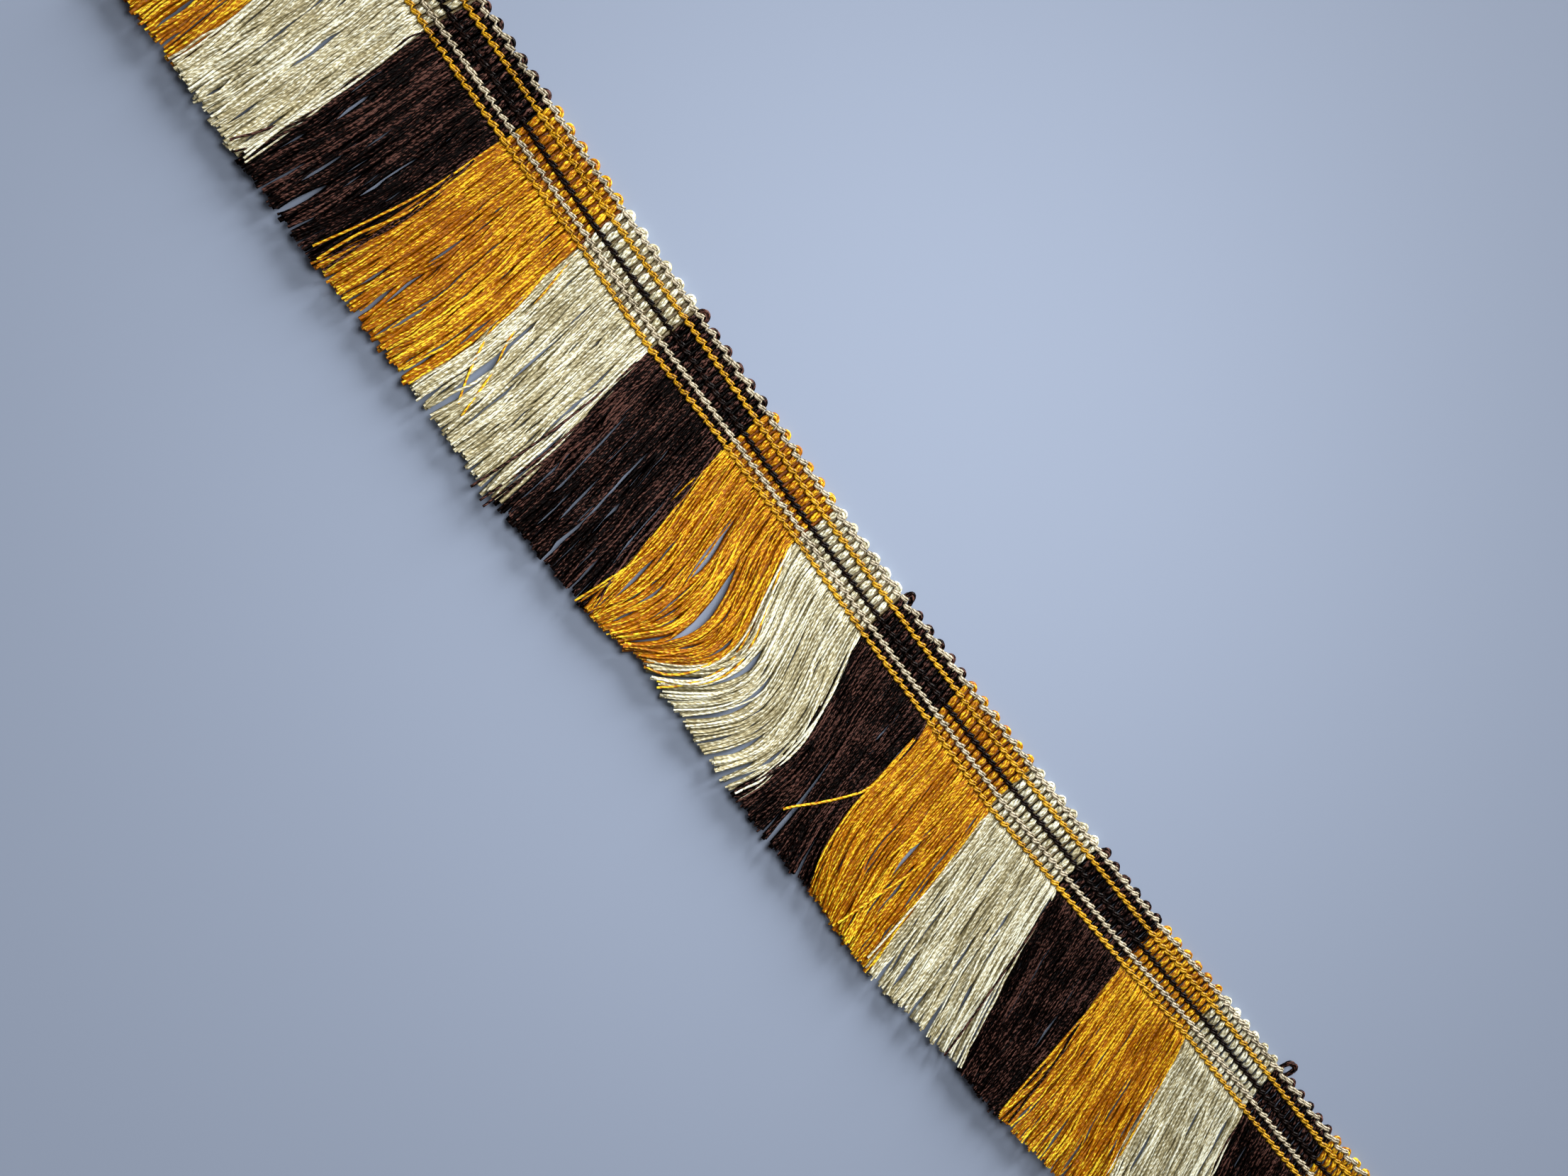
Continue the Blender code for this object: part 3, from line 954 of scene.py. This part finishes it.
def weft_yarn(loop, first_angle, chance):
    """One yarn of a weft, which winds round the weft's path from first_angle on."""
    out = (2 * loop + 0.5) * COURSE
    back = out + COURSE
    leg = np.linspace(WEFT_START, LOOP_BASE, LEG_POINTS)
    turn = np.linspace(math.pi, 0, LOOP_POINTS + 2)[1:-1]
    sine = np.sin(turn)
    bulge = float_bulge(leg)
    shape = LOOSE_LOOPS.get(loop, EVEN_LOOP)
    half = COURSE / 2 * (1 + (shape.width - 1) * sine)
    loop_along = (out + back) / 2 + half * np.cos(turn) + shape.tip * MM * sine
    loop_across = LOOP_BASE + LOOP_RISE * shape.rise * sine
    rise = FLOAT_HEIGHT * bulge
    loop_rise = (0.2 + 0.25 * (shape.rise - 1)) * MM * sine
    along = np.concatenate([np.full_like(leg, out), loop_along, np.full_like(leg, back)])
    across = np.concatenate([leg, loop_across, leg[::-1]])
    height = PINCH_HEIGHT + np.concatenate([rise, loop_rise, rise[::-1]])
    fullness = np.concatenate([bulge, 0.3 + 0.7 * sine, bulge[::-1]])
    ahead = np.gradient(np.stack([along, across]), axis=1)
    step = np.hypot(*ahead)
    angle = first_angle + math.tau * np.cumsum(step) / WEFT_TURN
    apart = WEFT_HALF_BUNDLE * (0.3 + 0.7 * fullness)
    along = along + apart * np.cos(angle) * ahead[1] / step + chance.normal(0, 0.03 * MM)
    across = across - apart * np.cos(angle) * ahead[0] / step
    height = height + 0.6 * apart * np.sin(angle)
    points = place(weft_along(along, across), chain_across(along, across), height)
    width = WEFT_HALF_WIDTH * (0.72 + 0.28 * fullness)
    return Yarn(points, width, 0.2 + 0.8 * chance.random(), chance.uniform(0, math.tau))


def under_weft(course, chance):
    """The part of a weft that runs deep in the knitting, between two floats, darkened by painted
    shade.
    """
    across = np.linspace(DEEP_START, LOOP_BASE, LEG_POINTS // 2)
    along = np.full_like(across, course * COURSE)
    points = place(weft_along(along, across), chain_across(along, across), DEEP_HEIGHT)
    # Painted shade: a deep tone that darkens this yarn toward the darkest groove colour
    return Yarn(points, DEEP_HALF_WIDTH, HEADING_SHADE_TONE, chance.uniform(0, math.tau))


def build_wefts():
    """The wefts of the heading, one piece for each colour."""
    chance = np.random.default_rng(7)
    wefts = {"gold": [], "cream": [], "brown": []}
    for loop in range(COURSES // 2):
        middle = (2 * loop + 1) * COURSE
        row = int(np.searchsorted(ENDS, middle)) - 1
        first_angle = chance.uniform(0, math.tau)
        for i in range(WEFT_YARNS):
            angle = first_angle + math.tau * i / WEFT_YARNS
            wefts[SECTIONS[row].colour].append(weft_yarn(loop, angle, chance))
    deep = {"gold": [], "cream": [], "brown": []}
    for course in range(COURSES + 1):
        row = int(np.clip(np.searchsorted(ENDS, course * COURSE) - 1, 0, len(ENDS) - 2))
        deep[SECTIONS[row].colour].append(under_weft(course, chance))
    for colour, yarns in wefts.items():
        name = f"heading_wefts_{colour}"
        floats = lay_yarns(name, yarns, FINISHES[colour], 5)
        under = lay_yarns(f"under_{colour}", deep[colour], FINISHES[colour], 4, 0.6)
        piece = join_pieces(name, [floats, under])
        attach(piece, "root")
        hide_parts("heading_band")


# Chain stitches. One row for each point of a stitch's path, in millimetres from the middle of
# its course, with the yarn's half width there.
StitchPoint = namedtuple("StitchPoint", "along across height half_width")
STITCH_BODY = (
    StitchPoint(-0.92, -0.16, -0.22, 0.16),
    StitchPoint(-0.58, -0.14, 0.06, 0.25),
    StitchPoint(-0.20, -0.06, 0.18, 0.29),
    StitchPoint(0.18, 0.06, 0.22, 0.28),
    StitchPoint(0.48, 0.24, 0.18, 0.23),
    StitchPoint(0.66, 0.52, -0.04, 0.15),
)
STITCH_LEG = (
    StitchPoint(0.26, 0.40, 0.00, 0.14),
    StitchPoint(0.54, 0.08, 0.26, 0.20),
    StitchPoint(0.76, -0.22, 0.18, 0.20),
    StitchPoint(0.92, -0.50, -0.12, 0.13),
)
# The body of a stitch is two strands that lie side by side
BODY_SHIFTS = (-0.8, 0.8)
STITCH_HEIGHT = 1.02 * MM
UNEVEN_STITCHES = 0.16
# How far the stitches of the edge chain lie to and fro, from course to course
EDGE_WAVE = 0.32 * MM
# Each chain also shows on the back of the heading, as one plain yarn
BACK_HEIGHT = 0.17 * MM
BACK_HALF_WIDTH = 0.15 * MM


def stitch_yarn(rows, shift, tone):
    """One strand of a stitch, moved sideways by a share of its half width."""
    path = smooth_path([tuple(v * MM for v in row) for row in rows], 2)
    path[:, 1] += shift * path[:, 3]
    return Yarn(path[:, :3], path[:, 3], tone, 1.5 * shift)


def build_stitch(finish):
    """One chain stitch: the strands of its body and the thin leg that crosses to the next."""
    arms = [stitch_yarn(STITCH_BODY, shift, 0.5) for shift in BODY_SHIFTS]
    arms.append(stitch_yarn(STITCH_LEG, 0.0, 0.4))
    return lay_yarns("stitch", arms, finish, 4)


def chain_path(name, across):
    """Path of one chain, from the first course to the last."""
    along = (np.arange(COURSES) + 0.5) * COURSE
    line = chain_across(along, np.full_like(along, across))
    if name == "chain_edge_silver":
        line = line + EDGE_WAVE * np.sin(math.pi * along / COURSE)
    points = place(weft_along(along, line), line, STITCH_HEIGHT)
    return Yarn(points, BACK_HALF_WIDTH, 0.5, 0.0)


def build_chains():
    """The five chains that run along the heading."""
    for seed, (name, across) in enumerate(CHAIN_LINES.items()):
        colour = name.split("_")[2]
        finish = FINISHES[f"chain_{colour}"]
        stitch = build_stitch(finish)
        path = chain_path(name, across)
        piece = bpy.data.objects.new(f"{name}_stitches", path_mesh(name, [path]))
        bpy.context.scene.collection.objects.link(piece)
        values = {
            "Stitch": stitch,
            "Count": COURSES,
            "Unevenness": UNEVEN_STITCHES,
            "Seed": seed,
            "Finish": finish,
        }
        apply_tree(piece, STITCH_TREE, values)
        bpy.data.objects.remove(stitch, do_unlink=True)
        path.points[:, 2] = BACK_HEIGHT
        back = lay_yarns(f"{name}_back", [path], finish, 4)
        piece = join_pieces(f"{name}_stitches", [piece, back])
        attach(piece, "root")
        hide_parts(name)


def floor_finish():
    """Plain matt paper."""
    material = bpy.data.materials.new("pale_paper")
    material.use_nodes = True
    shader = material.node_tree.nodes["Principled BSDF"]
    shader.inputs["Base Color"].default_value = linear(FLOOR_COLOUR)
    shader.inputs["Roughness"].default_value = 0.9
    shader.inputs["Specular IOR Level"].default_value = 0.1
    return material


def build_stage():
    """Plain pale floor, the lights, and a weak even light from the room."""
    mesh = bpy.data.meshes.new("floor")
    side = FLOOR_HALF_SIDE
    corners = [(-side, -side, 0), (side, -side, 0), (side, side, 0), (-side, side, 0)]
    mesh.from_pydata(corners, [], [(0, 1, 2, 3)])
    mesh.materials.append(floor_finish())
    floor = bpy.data.objects.new("floor", mesh)
    bpy.context.scene.collection.objects.link(floor)
    for light in LIGHTS:
        add_light(light)
    world = bpy.data.worlds.new("soft_room")
    world.use_nodes = True
    room = world.node_tree.nodes["Background"]
    room.inputs["Color"].default_value = ROOM_COLOUR
    room.inputs["Strength"].default_value = ROOM_STRENGTH
    bpy.context.scene.world = world
    bpy.context.scene.view_settings.view_transform = "Standard"


def add_light(light):
    """A square soft light aimed at the middle of the trim."""
    data = bpy.data.lights.new(light.name, "AREA")
    data.size = light.size
    data.energy = light.power
    data.color = light.colour
    lamp = bpy.data.objects.new(light.name, data)
    lamp.location = light.spot
    lamp.rotation_euler = (-Vector(light.spot)).to_track_quat("-Z", "Y").to_euler()
    bpy.context.scene.collection.objects.link(lamp)


def build_camera():
    """A camera at the photo's angle."""
    data = bpy.data.cameras.new("camera")
    data.sensor_width = SENSOR_WIDTH
    data.lens = LENS
    data.clip_start = CLIP_START
    camera = bpy.data.objects.new("camera", data)
    camera.location = CAMERA_PLACE
    camera.rotation_euler = tuple(math.radians(a) for a in CAMERA_TURN)
    bpy.context.scene.collection.objects.link(camera)
    bpy.context.scene.camera = camera


build_camera()
build_stage()
for number in range(len(ENDS) - 1):
    build_skirt_block(number)
build_wefts()
build_chains()
